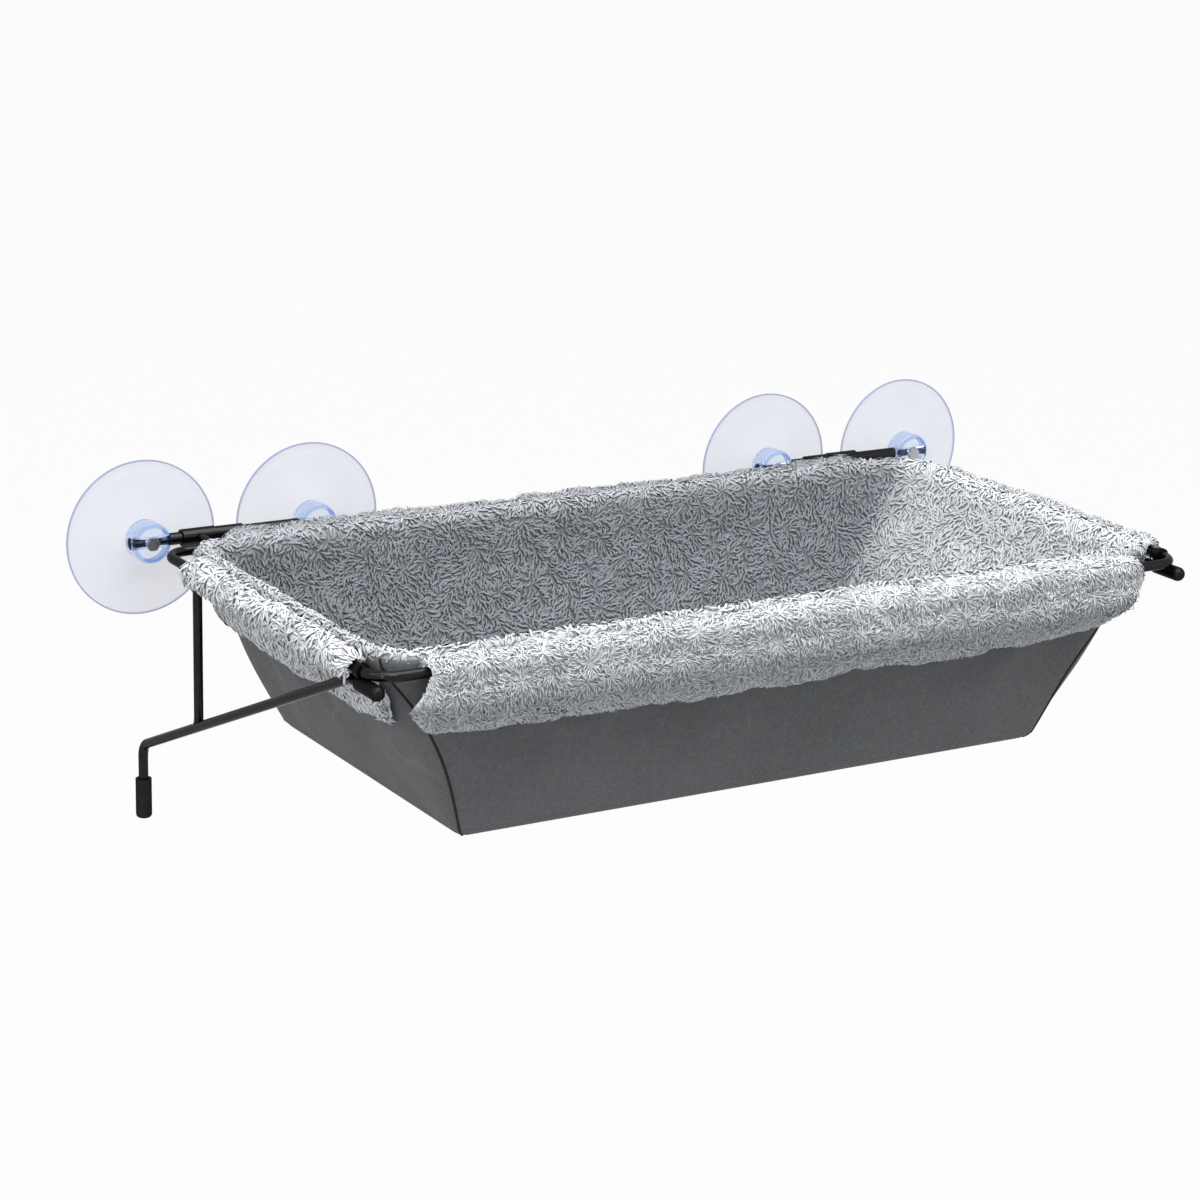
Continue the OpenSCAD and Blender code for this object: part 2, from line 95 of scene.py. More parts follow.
class Term:
    """A shader socket that can be used in sums, so that 1 - mask adds its own Math node."""

    def __init__(self, kit, socket):
        self.kit, self.socket = kit, socket

    def _math(self, operation, *values):
        return self.kit.node("ShaderNodeMath", {"operation": operation}, values)

    def __add__(self, other):
        return self._math("ADD", self, other)

    def __sub__(self, other):
        return self._math("SUBTRACT", self, other)

    def __rsub__(self, other):
        return self._math("SUBTRACT", other, self)

    def __mul__(self, other):
        return self._math("MULTIPLY", self, other)

    def __pow__(self, other):
        return self._math("POWER", self, other)

    def sine(self):
        return self._math("SINE", self)

    def clip(self):
        """The value held between 0 and 1."""
        held = self._math("ADD", self, 0.0)
        held.socket.node.use_clamp = True
        return held


class Tree:
    """A shader tree, with one way to add any node."""

    def __init__(self, tree):
        self.tree = tree

    def node(self, kind, settings, values=(), output=0):
        made = self.tree.nodes.new(kind)
        for key, value in settings.items():
            setattr(made, key, value)
        pairs = values.items() if isinstance(values, dict) else enumerate(values)
        for key, value in pairs:
            if isinstance(value, Term):
                self.tree.links.new(value.socket, made.inputs[key])
            else:
                made.inputs[key].default_value = value
        return Term(self, made.outputs[output])

    def place(self):
        return self.node("ShaderNodeTexCoord", {}, output="Object")

    def parts(self, vector):
        split = self.node("ShaderNodeSeparateXYZ", {}, [vector]).socket.node
        return [Term(self, socket) for socket in split.outputs]

    def attribute(self, name, output="Fac"):
        return self.node("ShaderNodeAttribute", {"attribute_name": name}, output=output)

    def noise(self, scale, detail=2.0, rough=0.5, at=None):
        values = {"Scale": scale, "Detail": detail, "Roughness": rough}
        values["Vector"] = at or self.place()
        return self.node("ShaderNodeTexNoise", {}, values)

    def mix(self, share, a, b):
        """From colour a to b. A Mix node has its colours at inputs 6 and 7 and at output 2."""
        a, b = (c if isinstance(c, Term) else (*c, 1) for c in (a, b))
        return self.node("ShaderNodeMix", {"data_type": "RGBA"}, {0: share, 6: a, 7: b}, 2)

    def plain_rays(self):
        """1 for a ray from the camera, a shiny face or clear vinyl, and 0 for a ray of light."""
        seen, glossy, through = (
            self.node("ShaderNodeLightPath", {}, output=f"Is {kind} Ray")
            for kind in ("Camera", "Glossy", "Transmission")
        )
        return (seen + glossy + through).clip()

    def surface(self, result):
        """Makes a shader what the tree puts out."""
        end = next(n for n in self.tree.nodes if n.type.startswith("OUTPUT"))
        self.tree.links.new(result.socket, end.inputs["Surface"])


class Finish(Tree):
    """A material round one Principled shader."""

    def __init__(self, name, **constants):
        self.material = bpy.data.materials.new(name)
        self.material.use_nodes = True
        super().__init__(self.material.node_tree)
        self.shader = self.tree.nodes["Principled BSDF"]
        for socket, value in constants.items():
            self.shader.inputs[socket.replace("_", " ")].default_value = value

    def own(self):
        return Term(self, self.shader.outputs[0])

    def feed(self, **links):
        for socket, value in links.items():
            self.tree.links.new(value.socket, self.shader.inputs[socket.replace("_", " ")])
        return self

    def bump(self, height, depth, strength=1.0):
        values = {"Height": height, "Strength": strength, "Distance": depth}
        return self.feed(Normal=self.node("ShaderNodeBump", {}, values))


def fleece(name, root, tip, grey_and_shade_root, grey_and_shade_tip):
    """Long pile: painted shade between the strands, lighter at their tips, and a darker tone mixed
    in that is painted shade, in the lining partly a darker grey cloth.
    """
    soft = {"Sheen_Weight": 0.25, "Sheen_Roughness": 0.5, "Specular_IOR_Level": 0.15}
    made = Finish(name, Roughness=0.92, **soft)
    # The roots are painted darker than the tips, as painted shade deep in the pile.
    along = (made.attribute("tip") * 2.0).clip()
    # The darker tone is painted shade, in the lining partly also a darker grey cloth.
    grey_and_shade = made.attribute("grey_and_shade").clip()
    tone = made.mix(grey_and_shade, made.mix(along, root, tip), made.mix(along, grey_and_shade_root, grey_and_shade_tip))
    # Each strand's own random tone, and lumps of painted shade over the clumps, take it towards
    # half the root's colour.
    shade = (made.attribute("tint") * 0.18 + 0.76 + made.noise(45, 1) * 0.16).clip()
    made.feed(Base_Color=made.mix(shade, tuple(c * 0.5 for c in root), tone))
    # Each strand carries the normal of its cloth, which softens its own
    to_world = {"vector_type": "VECTOR", "convert_from": "OBJECT", "convert_to": "WORLD"}
    skin = made.node("ShaderNodeVectorTransform", to_world, [made.attribute("skin", "Vector")])
    own = made.node("ShaderNodeNewGeometry", {}, output="Normal")
    both = made.node("ShaderNodeVectorMath", {"operation": "ADD"}, [skin, own])
    made.feed(Normal=made.node("ShaderNodeVectorMath", {"operation": "NORMALIZE"}, [both]))
    return made.material


def canvas():
    """Grey twill: fine diagonal ribs, a few slubs, cloudy wear and pale creases down its folds."""
    made = Finish("grey_twill", Roughness=0.85, Sheen_Weight=0.08, Specular_IOR_Level=0.2)
    x, y, z = made.parts(made.place())
    run, down, _ = made.parts(made.node("ShaderNodeUVMap", {"uv_map": "weave"}))
    rib = ((run + down * 0.9) * (2 * math.pi / 0.0018)).sine()
    yarn = ((run - down * 1.3) * (2 * math.pi / 0.0023)).sine()
    weave = rib * 0.7 + yarn * 0.3
    cloudy = made.noise(14, 3)
    slub = made.noise(420, 2)
    hang = made.node("ShaderNodeCombineXYZ", {}, [x, y, z * 0.06])
    level = made.noise(15, 1, at=hang) - 0.5
    crease = (1 - (level * level) ** 0.5 * 130).clip() * made.attribute("fold") * 0.6
    tone = weave * 0.34 + 0.45 + (cloudy - 0.5) * 0.6 + (slub - 0.5) * 0.9 + crease
    made.feed(Base_Color=made.mix(tone.clip(), (0.074, 0.077, 0.08), (0.152, 0.156, 0.16)))
    return made.bump(weave * 0.7 + slub * 0.6, 0.00025, 0.5).material


def coated_wire():
    """Gloss black coating with the faint orange peel of a thick powder coat."""
    tint = (0.3, 0.3, 0.3, 1)
    coat = {"Specular_Tint": tint, "Coat_Weight": 0.15, "Coat_Roughness": 0.12}
    made = Finish("black_coating", Metallic=0.85, Roughness=0.2, **coat)
    made.feed(
        Base_Color=made.mix(made.noise(90, 3), (0.011, 0.011, 0.0115), (0.018, 0.018, 0.019)),
        Roughness=made.noise(160, 2) * 0.08 + 0.1,
    )
    return made.bump(made.noise(700, 2), 0.00006, 0.15).material


def moulded(name, low, high, rough, grain, black=False):
    """Moulded plastic, rubber or thread between two colours, without white glints if black."""
    made = Finish(name, Roughness=rough, Specular_IOR_Level=0.35)
    if black:
        made.shader.inputs["Metallic"].default_value = 0.8
        made.shader.inputs["Specular Tint"].default_value = (0, 0, 0, 1)
    made.feed(
        Base_Color=made.mix(made.noise(grain / 6, 3), low, high),
        Roughness=made.noise(grain / 3, 2) * 0.2 + (rough - 0.1),
    )
    return made.bump(made.noise(grain, 2), 0.00015, 0.3).material


# Radii on a cup in metres, and how far its boss starts from the disc's back
DISC_EDGE, BOSS_R, RING_R, BOSS_OUT = 0.0497, 0.0142, 0.012, 0.0062


def clear_vinyl(name, middle_x):
    """Clear blue tinged vinyl: a thin veil over the disc, and thick and refracting in the boss."""
    made = Finish(name, Roughness=0.12, Specular_IOR_Level=0.12)
    x, y, z = made.parts(made.place())
    out = ((x - middle_x) * (x - middle_x) + z * z) ** 0.5
    edge = ((out - DISC_EDGE) * 1500).clip()
    smudge = made.noise(26, 3)
    made.feed(
        Base_Color=made.mix(edge, (0.58, 0.6, 0.73), (0.22, 0.28, 0.5)),
        Alpha=(edge * 0.3 + 0.2 + smudge * 0.1).clip(),
        Roughness=smudge * 0.2 + 0.05,
    )
    ring = (1 - (out - RING_R) * (out - RING_R) * 160000).clip()
    tint = made.mix(ring, (0.74, 0.84, 1.0), (0.22, 0.38, 0.9))
    clear = {"Transmission Weight": 1.0, "IOR": 1.42, "Roughness": 0.04, "Base Color": tint}
    thick = made.node("ShaderNodeBsdfPrincipled", {}, clear)
    boss = ((y * -1 - BOSS_OUT) * 900).clip() * ((BOSS_R - out) * 4000).clip()
    made.surface(made.node("ShaderNodeMixShader", {}, [boss, made.own(), thick]))
    return made.material


def zinc():
    made = Finish("zinc_plate", Metallic=1.0, Roughness=0.35)
    made.feed(
        Base_Color=made.mix(made.noise(300, 3), (0.33, 0.34, 0.36), (0.5, 0.51, 0.54)),
        Roughness=made.noise(500, 2) * 0.3 + 0.2,
    )
    return made.material


def hardboard():
    made = Finish("hardboard", Roughness=0.8)
    made.feed(Base_Color=made.mix(made.noise(900, 4), (0.16, 0.095, 0.05), (0.34, 0.22, 0.12)))
    return made.bump(made.noise(1500, 3), 0.0002, 0.4).material


def foam():
    made = Finish("open_foam", Roughness=0.95)
    made.feed(Base_Color=made.mix(made.noise(1300, 3), (0.55, 0.55, 0.5), (0.8, 0.8, 0.75)))
    return made.bump(made.noise(1300, 3), 0.0004, 0.7).material


FLEECE = fleece(
    "fleece", (0.68, 0.695, 0.72), (0.78, 0.795, 0.82), (0.12, 0.13, 0.147), (0.235, 0.253, 0.278)
)
CANVAS = canvas()
COATING = coated_wire()
THREAD = moulded("grey_thread", (0.12, 0.124, 0.13), (0.2, 0.205, 0.21), 0.8, 2500)
# Near black: the corner seams are painted as dark as the shadow in their folds.
WELT_SHADOW = moulded("seam_painted_shadow", (0.007, 0.0073, 0.0076), (0.018, 0.0185, 0.019), 0.9, 1500)


def dress_solids():
    """Gives each solid its material, the black coating where it has none of its own."""
    rubber = moulded("cap_rubber", (0.016, 0.016, 0.016), (0.028, 0.028, 0.028), 0.5, 900, True)
    plastic = moulded("clip_plastic", (0.012, 0.012, 0.013), (0.02, 0.02, 0.021), 0.32, 700, True)
    own = {"cup_screws": zinc(), "base_board": hardboard()}
    for side in ("left_", "right_"):
        own[side + "foot_cap"], own[side + "corner_clip"] = rubber, plastic
    for name, node in NODES.items():
        if name.endswith("_cup"):
            low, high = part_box(name)
            finish = clear_vinyl("vinyl_of_" + name, (low[0] + high[0]) / 2)
        else:
            finish = own.get(name, COATING)
        node.data.materials.clear()
        node.data.materials.append(finish)


dress_solids()


# Helpers for meshes


def add(name, data):
    """An object of the data, in the scene."""
    made = bpy.data.objects.new(name, data)
    bpy.context.scene.collection.objects.link(made)
    return made


def wobble(p, size, seed):
    """Smooth noise from -1 to 1 at points p, in lumps about size across."""
    q = np.asarray(p, float) / size
    cell = np.floor(q).astype(np.int64)
    f = q - cell
    f = f * f * (3 - 2 * f)
    total = np.zeros(q.shape[:-1])
    for corner in np.ndindex(*(2,) * q.shape[-1]):
        key = np.zeros(q.shape[:-1], np.int64) + seed * 7919
        weight = np.ones(q.shape[:-1])
        for axis, step in enumerate(corner):
            key = key * 1000003 + (cell[..., axis] + step) * (73856093, 19349663, 83492791)[axis]
            weight = weight * (f[..., axis] if step else 1 - f[..., axis])
        key = (key ^ (key >> 13)) * 1274126177
        value = ((key ^ (key >> 16)) & 0xFFFF) / 32767.5 - 1
        total += weight * value
    return total


def piece_from(name, points, faces, material, body="bed_frame", attributes=None, weave=None):
    """A mesh piece from points in millimetres, with named numbers or vectors on its points.

    weave is a map for a woven pattern, in metres along and across, one pair for each face corner.
    """
    mesh = bpy.data.meshes.new(name)
    places = np.asarray(points).reshape(-1, 3) * MM
    mesh.from_pydata(places.tolist(), [], [list(map(int, f)) for f in faces])
    for key, values in (attributes or {}).items():
        values = np.asarray(values, np.float32)
        plain = values.size == len(places)
        kind, field = ("FLOAT", "value") if plain else ("FLOAT_VECTOR", "vector")
        mesh.attributes.new(key, kind, "POINT").data.foreach_set(field, values.ravel())
    if weave is not None:
        across = np.asarray(weave, np.float32).ravel()
        mesh.uv_layers.new(name="weave").data.foreach_set("uv", across)
    mesh.materials.append(material)
    mesh.shade_smooth()
    piece = add(name, mesh)
    if body:
        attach(piece, body)
    return piece


def unit(vectors):
    return vectors / (np.linalg.norm(vectors, axis=-1)[..., None] + 1e-9)


def grid_faces(rows, columns, wrap=False):
    """Quads of a grid of points laid out row by row."""
    across = np.arange(columns if wrap else columns - 1)
    i, j = np.meshgrid(np.arange(rows - 1), across, indexing="ij")
    a, b = i * columns + j, i * columns + (j + 1) % columns
    return np.stack([a, b, b + columns, a + columns], -1).reshape(-1, 4)


def loft_faces(rows, columns, first=True):
    """Faces of a loft through closed rings, with one over its last ring and one over its first."""
    faces = grid_faces(rows, columns, wrap=True).tolist()
    if first:
        faces.append(list(range(columns))[::-1])
    last = (rows - 1) * columns
    return [*faces, list(range(last, last + columns))]


def at_height(ring, z):
    return np.c_[ring, np.full(len(ring), z)]


def tidy(piece, distance=0.00005):
    """Merges doubled points and points all faces outwards."""
    work = bmesh.new()
    work.from_mesh(piece.data)
    bmesh.ops.remove_doubles(work, verts=work.verts, dist=distance)
    bmesh.ops.dissolve_degenerate(work, edges=work.edges, dist=distance / 5)
    bmesh.ops.recalc_face_normals(work, faces=work.faces)
    work.to_mesh(piece.data)
    work.free()
    return piece


def plain_mesh(piece, name):
    """The piece with its modifiers made real, as a new plain piece that rides as it did."""
    depsgraph = bpy.context.evaluated_depsgraph_get()
    mesh = bpy.data.meshes.new_from_object(
        piece.evaluated_get(depsgraph), preserve_all_data_layers=True, depsgraph=depsgraph
    )
    made = add(name, mesh)
    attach(made, piece["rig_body"])
    return made


def outline(half_w, y_front, y_rear, r, counts=COUNTS):
    """A round cornered rectangle, against the clock from the front left, with fixed counts."""
    n_long, n_corner, n_side = counts
    w, f, b = half_w - r, y_front + r, y_rear - r
    runs = [
        ((-w, y_front), (w, y_front), n_long, (w, f)),
        ((half_w, f), (half_w, b), n_side, (w, b)),
        ((w, y_rear), (-w, y_rear), n_long, (-w, b)),
        ((-half_w, b), (-half_w, f), n_side, (-w, f)),
    ]
    points = []
    for k, (start, end, n, centre) in enumerate(runs):
        t = np.linspace(0, 1, n, endpoint=False)[:, None]
        points.append(np.array(start) * (1 - t) + np.array(end) * t)
        angle = np.radians(90 * (k - 1) + np.linspace(0, 90, n_corner, endpoint=False))
        points.append(np.array(centre) + r * np.stack([np.cos(angle), np.sin(angle)], -1))
    return np.concatenate(points)


def bag_outline(z, inset, r):
    """The bag's outline at height z, a depth inset inside the canvas's outer face."""
    return outline(
        SIDE_X - CANVAS_IN + SIDE_LEAN * z - inset,
        FRONT_Y + CANVAS_IN - FRONT_LEAN * z + inset,
        REAR_Y - CANVAS_IN + REAR_LEAN * z - inset,
        r,
    )


def corner_radius(z):
    """Radius of the bag's corners: 26 mm at the rim and 7 mm at the base."""
    return 7 + 19 * (1 + z / BAG_H)


# The canvas bag, one lofted shell


def side_share(ring):
    """1 on the bag's side walls, down to 0.2 on its front and rear walls."""
    x, y = ring[..., 0], ring[..., 1]
    from_side = np.abs(x) - np.abs(x).max(-1, keepdims=True)
    return np.clip(1 + from_side / 12, 0.2, 1)


def canvas_creases(ring, z):
    """How far the canvas moves out at each point of an outline: slack, folds and pull lines."""
    low = max(0, -z / BAG_H)
    belly = math.sin(math.pi * min(1, low))
    x, y = ring[:, 0], ring[:, 1]
    move = np.zeros(len(ring))
    for sx, sy in ((-1, -1), (-1, 1), (1, -1), (1, 1)):
        far = np.hypot(x - sx * (SIDE_X - 35), y - MID_Y - sy * 125)
        depth = BAG_H * low + 14
        reach = np.exp(-((far / 115) ** 2)) * np.sin(np.pi * np.clip(low, 0, 1)) ** 0.8
        move += reach * 1.9 * np.sin(far / depth * 6.5 + sx * 1.3 + sy)
    points = at_height(ring, z)
    folds = wobble(points * [1, 1, 0.22], 24, 7) * 2.2 * belly**0.6 * side_share(ring)
    return move - 1.6 * belly + folds + 0.7 * wobble(points, 70, 3) + 0.35 * wobble(points, 26, 4)


def weave_map(points, n_wall):
    """Where each face corner lies on the cloth: along and down the walls, then flat on the base."""
    closed = np.concatenate([points, points[:, :1]], 1) * MM
    steps = np.linalg.norm(np.diff(closed, axis=1), axis=-1)
    along = np.concatenate([np.zeros((len(points), 1)), np.cumsum(steps, 1)], 1)
    middle = COUNTS[0] // 2
    along -= along[:, middle : middle + 1]
    down = np.r_[0, np.cumsum(np.linalg.norm(np.diff(closed, axis=0), axis=-1).mean(1))]
    on_wall = np.stack([along, np.broadcast_to(down[:, None], along.shape)], -1)
    corners = []
    for part in (on_wall[:n_wall], closed[n_wall - 1 :, :, :2]):
        quads = np.stack([part[:-1, :-1], part[:-1, 1:], part[1:, 1:], part[1:, :-1]], 2)
        corners.append(quads.reshape(-1, 2))
    return np.concatenate([*corners, closed[-1, :-1, :2]])


def bag_flat(inset, height, turned):
    """Width, length and area of a bag's cut in metres: floor, walls and an edge turned over."""
    top, low = (np.ptp(bag_outline(z, inset, 9), axis=0) * MM for z in (0, -height))
    slant = np.hypot(height * MM, (top - low) / 2)
    walls = 2 * (slant * (top + low)[::-1] / 2).sum() + 2 * turned * MM * top.sum()
    return tuple(low + 2 * (slant + turned * MM)), low[0] * low[1] + walls


def canvas_bag():
    """The bag and the points of its outer face, ring by ring from the rim to the base's middle."""
    rings, turn = [], 8
    for z in [5.0, 2.5, *np.linspace(0, -BAG_H + turn, 34)]:
        ring = bag_outline(min(0, z), 0, corner_radius(min(0, z)))
        out = ring - np.roll(ring, 1, 0)
        normal = np.stack([out[:, 1], -out[:, 0]], -1)
        normal = unit((normal + np.roll(normal, -1, 0)) / 2)
        rings.append(at_height(ring + normal * canvas_creases(ring, z)[:, None], z))
    for a in np.radians([18, 36, 54, 72, 90]):
        z = -BAG_H + turn * (1 - math.sin(a))
        inset = turn * (1 - math.cos(a))
        rings.append(at_height(bag_outline(z, inset, corner_radius(z) - inset * 0.6), z))
    n_wall = len(rings)
    for inset in (14, 26, 42, 60, 80, 98):
        rings.append(at_height(bag_outline(-BAG_H, inset, 8), -BAG_H))
    points = np.array(rings)
    fold = side_share(points) * (points[..., 2] > 4 - BAG_H)
    faces = loft_faces(*points.shape[:2], first=False)
    looks = {"attributes": {"fold": fold}, "weave": weave_map(points, n_wall)}
    bag = piece_from("canvas_bag", points, faces, CANVAS, **looks)
    tidy(bag)
    wall = bag.modifiers.new("wall", "SOLIDIFY")
    wall.thickness, wall.offset = 1.2 * MM, -1
    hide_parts("shell_front", "shell_right", "shell_rear", "shell_left", "shell_base")
    return bag, points


BAG, BAG_POINTS = canvas_bag()


# Geometry Nodes: pile on a surface, and stitches along a line


class Nodes:
    """A geometry node tree with one way to add a node."""

    def __init__(self, name):
        self.tree = bpy.data.node_groups.new(name, "GeometryNodeTree")
        kind = "NodeSocketGeometry"
        self.tree.interface.new_socket("Geometry", in_out="OUTPUT", socket_type=kind)
        self.keys = {}
        self.entry = self.tree.nodes.new("NodeGroupInput")

    def input(self, name, kind, value=None):
        kind = "NodeSocket" + kind
        socket = self.tree.interface.new_socket(name, in_out="INPUT", socket_type=kind)
        if value is not None:
            socket.default_value = value
        self.keys[name] = socket.identifier
        return next(s for s in self.entry.outputs if s.identifier == socket.identifier)

    def node(self, kind, settings=None, values=None, output=0):
        made = self.tree.nodes.new(kind)
        for key, value in (settings or {}).items():
            setattr(made, key, value)
        for key, value in (values or {}).items():
            named = [s for s in made.inputs if key in (s.name, s.identifier) and s.enabled]
            socket = made.inputs[key] if isinstance(key, int) else named[0]
            if isinstance(value, bpy.types.NodeSocket):
                self.tree.links.new(value, socket)
            else:
                socket.default_value = value
        if isinstance(output, str):
            return next(s for s in made.outputs if s.name == output and s.enabled)
        return made.outputs[output]

    def vector(self, operation, a, b=None):
        """Vector maths on a and b. SCALE takes b as its factor."""
        second = {} if b is None else {"Scale" if operation == "SCALE" else 1: b}
        return self.node("ShaderNodeVectorMath", {"operation": operation}, {0: a, **second})

    def product(self, a, b):
        return self.node("ShaderNodeMath", {"operation": "MULTIPLY"}, {0: a, 1: b})

    def random(self, kind, low, high, seed):
        values = {"Min": low, "Max": high, "Seed": seed}
        return self.node("FunctionNodeRandomValue", {"data_type": kind}, values, "Value")

    def read(self, kind, name):
        setting, value = {"data_type": kind}, {"Name": name}
        return self.node("GeometryNodeInputNamedAttribute", setting, value, "Attribute")

    def store(self, geometry, kind, name, value):
        settings = {"data_type": kind, "domain": "POINT"}
        values = {"Geometry": geometry, "Name": name, "Value": value}
        return self.node("GeometryNodeStoreNamedAttribute", settings, values)

    def finish(self, points, placing, material):
        """Ends the tree: real copies of an instance on points, in a material."""
        placed = self.node("GeometryNodeInstanceOnPoints", {}, {"Points": points, **placing})
        real = self.node("GeometryNodeRealizeInstances", {}, {"Geometry": placed})
        values = {"Geometry": real, "Material": material}
        dressed = self.node("GeometryNodeSetMaterial", {}, values)
        self.tree.links.new(dressed, self.tree.nodes.new("NodeGroupOutput").inputs[0])
        return self

    def put_on(self, piece, **values):
        modifier = piece.modifiers.new(self.tree.name, "NODES")
        modifier.node_group = self.tree
        for name, value in values.items():
            modifier[self.keys[name]] = value


def pile_tree():
    """Strands of pile on a surface: they follow the comb, turn in swirls and vary in size."""
    kit = Nodes("pile")
    surface = kit.input("Geometry", "Geometry")
    strands = kit.input("Strands", "Collection")
    usual = {"Spacing": 0.002, "Density": 200000.0, "Swirl": 1.0, "Lump": 40.0}
    usual |= {"Petal": 1.0, "Tuft": 60.0, "Stand": 0.12, "Soft": 5.0}
    spacing, density, swirl, lump, petal, tuft, stand, soft = (
        kit.input(name, "Float", value) for name, value in usual.items()
    )
    seed = kit.input("Seed", "Int", 1)
    finish = kit.input("Finish", "Material")
    spread = kit.node(
        "GeometryNodeDistributePointsOnFaces",
        {"distribute_method": "POISSON"},
        {"Mesh": surface, "Distance Min": spacing, "Density Max": density, "Seed": seed},
    )
    normal, base = (spread.node.outputs[key] for key in ("Normal", "Rotation"))
    lumps = {"Scale": lump, "Detail": 1.5, "Roughness": 0.5, "Distortion": 0.6}
    curl = kit.node("ShaderNodeTexNoise", {}, lumps, "Color")
    turned = kit.vector("SCALE", kit.vector("SUBTRACT", curl, (0.5, 0.5, 0.5)), swirl)
    middle = kit.node("ShaderNodeTexVoronoi", {}, {"Scale": tuft}, "Position")
    away = kit.vector("SUBTRACT", kit.node("GeometryNodeInputPosition"), middle)
    rayed = kit.vector("SCALE", kit.vector("NORMALIZE", away), petal)
    way = kit.vector("ADD", kit.read("FLOAT_VECTOR", "comb"), kit.vector("ADD", rayed, turned))
    along = {"axis": "X", "pivot_axis": "Z"}
    values = {"Rotation": base, "Vector": way}
    aligned = kit.node("FunctionNodeAlignRotationToVector", along, values)
    values = {"X": -0.2, "Y": kit.product(stand, -1.0), "Z": -0.3}
    least = kit.node("ShaderNodeCombineXYZ", {}, values)
    jitter = kit.random("FLOAT_VECTOR", least, (0.2, 0.14, 0.3), seed)
    turn = kit.node("FunctionNodeEulerToRotation", {}, {0: jitter})
    local = {"rotation_space": "LOCAL"}
    rotation = kit.node("FunctionNodeRotateRotation", local, {0: aligned, 1: turn})
    length = kit.product(kit.random("FLOAT", 0.75, 1.2, seed), kit.read("FLOAT", "pile"))
    toned = kit.store(spread, "FLOAT", "tint", kit.random("FLOAT", 0.0, 1.0, seed))
    skin = kit.vector("SCALE", normal, soft)
    kinds = kit.node(
        "GeometryNodeCollectionInfo",
        {"transform_space": "ORIGINAL"},
        {"Collection": strands, "Separate Children": True, "Reset Children": True},
    )
    placing = {
        "Instance": kinds,
        "Pick Instance": True,
        "Instance Index": kit.random("INT", 0, 4, seed),
        "Rotation": rotation,
        "Scale": length,
    }
    return kit.finish(kit.store(toned, "FLOAT_VECTOR", "skin", skin), placing, finish)


def stitch_tree():
    """Stitches along the edges of a line, each lying along it."""
    kit = Nodes("stitches")
    line = kit.input("Geometry", "Geometry")
    stitch = kit.input("Stitch", "Object")
    pitch = kit.input("Pitch", "Float", 0.0034)
    finish = kit.input("Finish", "Material")
    curve = kit.node("GeometryNodeMeshToCurve", {}, {"Mesh": line})
    values = {"Curve": curve, "Length": pitch}
    even = kit.node("GeometryNodeResampleCurve", {"mode": "LENGTH"}, values)
    tangent = kit.node("GeometryNodeInputTangent")
    facing = kit.node("FunctionNodeAlignRotationToVector", {"axis": "X"}, {"Vector": tangent})
    shape = kit.node("GeometryNodeObjectInfo", {}, {"Object": stitch}, "Geometry")
    return kit.finish(even, {"Instance": shape, "Rotation": facing}, finish)


def strand(name, length, thick, rise, side, rings):
    """One strand of pile: it stands up from its root, bends over along +X and ends in a point."""
    sides = 3
    shares = np.linspace(0, 0.82, rings) if rings > 2 else np.array([0.0, 0.55])
    widths = (0.85 + 0.15 * np.sin(shares / 0.82 * math.pi)) * thick
    path = np.stack(
        [
            length * (shares**1.2 - 0.28),
            side * np.sin(shares * 3.4),
            rise * np.sin(np.minimum(1, shares * 1.5) * math.pi * 0.6) - 0.4,
        ],
        -1,
    )
    a = 2 * math.pi * np.arange(sides) / sides + math.pi / 2
    flat = np.stack([-0.2 * np.sin(a), np.cos(a), 0.36 * np.sin(a)], -1)
    points = (path[:, None] + widths[:, None, None] * flat).reshape(-1, 3).tolist()
    points.append([length * 0.74, -side * 0.35, rise * 0.35])
    last = (rings - 1) * sides
    faces = grid_faces(rings, sides, wrap=True).tolist()
    faces += [(last + k, last + (k + 1) % sides, last + sides) for k in range(sides)]
    tips = [*np.repeat(shares, sides), 1.0]
    made = piece_from(name, points, faces, FLEECE, body=None, attributes={"tip": tips})
    return tidy(made, 1e-7)


def strand_kinds(name, length, thick, rise, rings):
    """Five strands of one sort in a collection of their own."""
    kinds = bpy.data.collections.new(name)
    bpy.context.scene.collection.children.link(kinds)
    bends = [(1, 0.9), (0.85, -1.1), (1.1, 0.3), (0.8, 1.6), (0.95, -1.7)]
    for i, (stretch, curl) in enumerate(bends):
        side = curl * length / 8
        made = strand(f"{name}_{i}", length * stretch, thick, rise, side, rings)
        bpy.context.scene.collection.objects.unlink(made)
        kinds.objects.link(made)
        made.hide_render = True
    return kinds


PILE = pile_tree()
CURLS = strand_kinds("curls", 6.6, 1.1, 1.7, 3)
LOCKS = strand_kinds("locks", 7.6, 0.54, 1.9, 2)
PETALS = strand_kinds("petals", 8.8, 1.05, 1.5, 3)


def grow_pile(name, points, faces, comb, pile, grey_and_shade, kinds, slot, spacing, **inputs):
    """Pile on a surface given as points and faces, as one plain piece on the bed."""
    fields = {"comb": comb, "pile": pile, "grey_and_shade": grey_and_shade}
    domain = piece_from("domain_" + name, points, faces, FLEECE, attributes=fields)
    spread = {"Spacing": spacing * MM, "Density": 2.2 / (spacing * MM) ** 2}
    PILE.put_on(domain, Strands=kinds, Finish=FLEECE, **spread, **inputs)
    made = plain_mesh(domain, name)
    bpy.data.objects.remove(domain)
    return made


# The fleece lining: one bowl inside the canvas, with a rolled top edge


